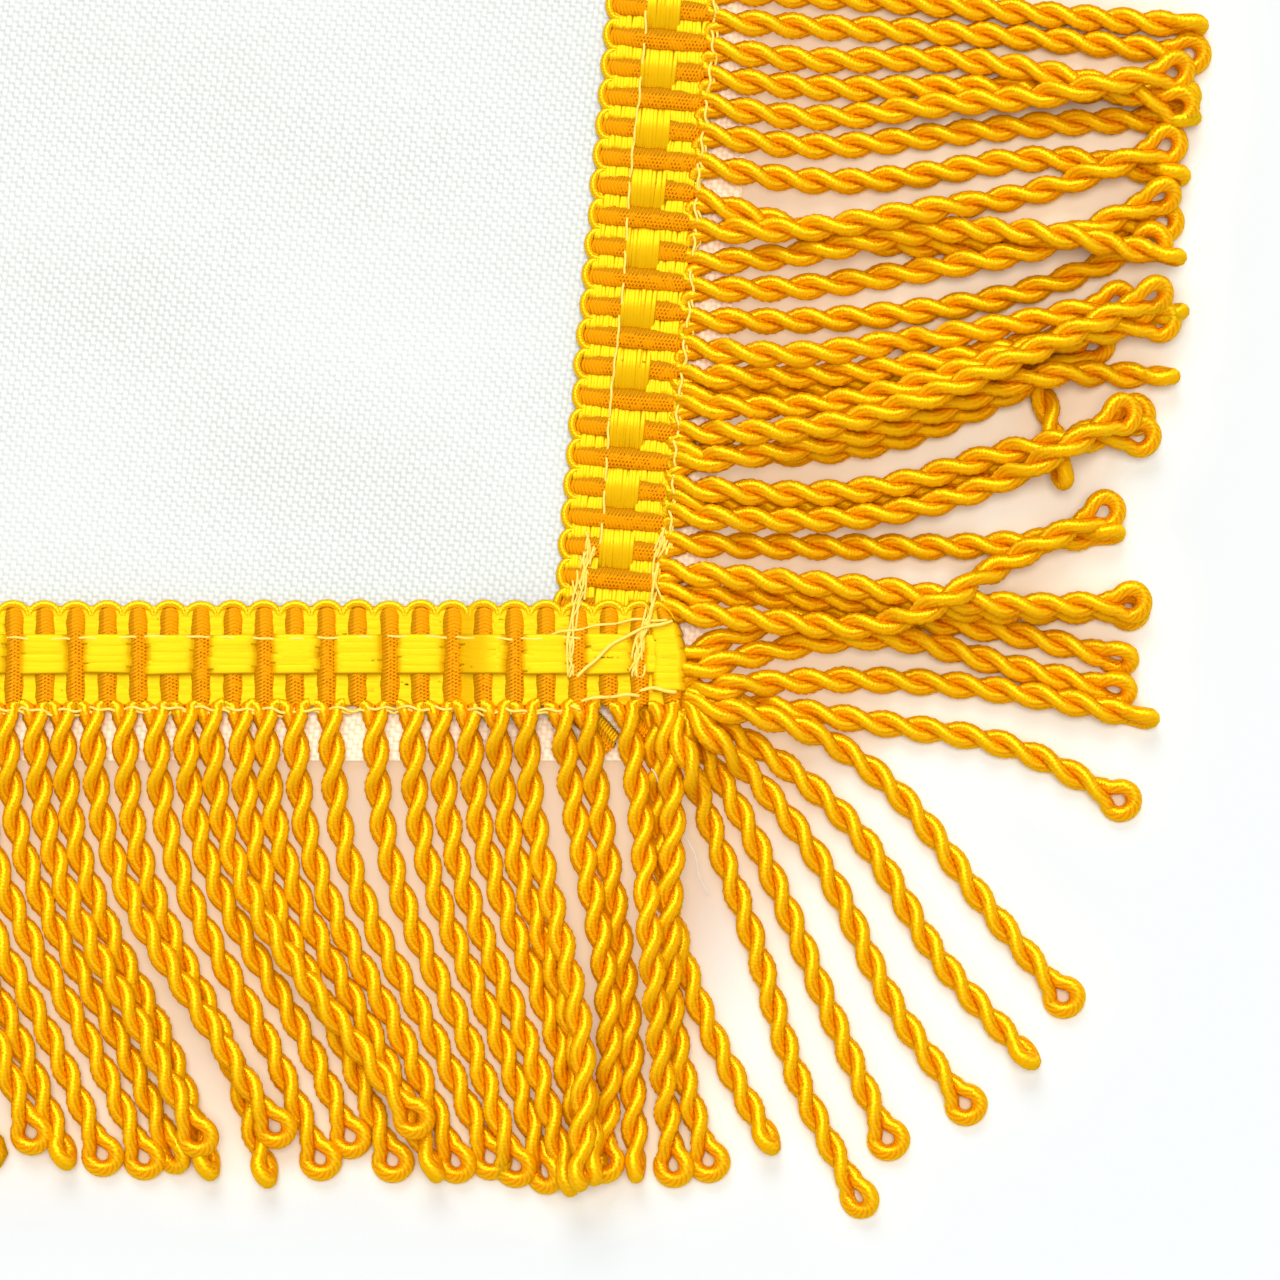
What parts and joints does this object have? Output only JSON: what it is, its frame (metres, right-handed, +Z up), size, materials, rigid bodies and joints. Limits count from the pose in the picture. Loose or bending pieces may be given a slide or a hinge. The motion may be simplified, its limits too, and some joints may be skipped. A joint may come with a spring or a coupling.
{
  "type": "fringed christian flag",
  "caption": "White flag laid flat, with a blue canton, a red cross, a pole sleeve on the hoist and twisted gold fringe on the other edges.",
  "frame": {"origin": "middle of the outline in plan, at the surface that the flag lies on", "axes": "+X from the hoist to the fly, +Y up the flag, +Z up from the surface, towards the face that shows"},
  "size_m": [0.9535, 0.685, 0.0092],
  "materials": {
    "white_cloth": "white plain-weave nylon with a faint sheen",
    "blue_cloth": "blue plain-weave nylon with a faint sheen",
    "red_cloth": "red plain-weave nylon with a faint sheen",
    "gold_fringe": "gold rayon braid and twisted cord, satin"
  },
  "bodies": {
    "root": {"field": "white_cloth", "canton": "blue_cloth", "cross": "red_cloth", "pole_sleeve": "white_cloth", "fringe_bottom": "gold_fringe", "fringe_fly": "gold_fringe", "fringe_top": "gold_fringe"}
  },
  "joints": []
}
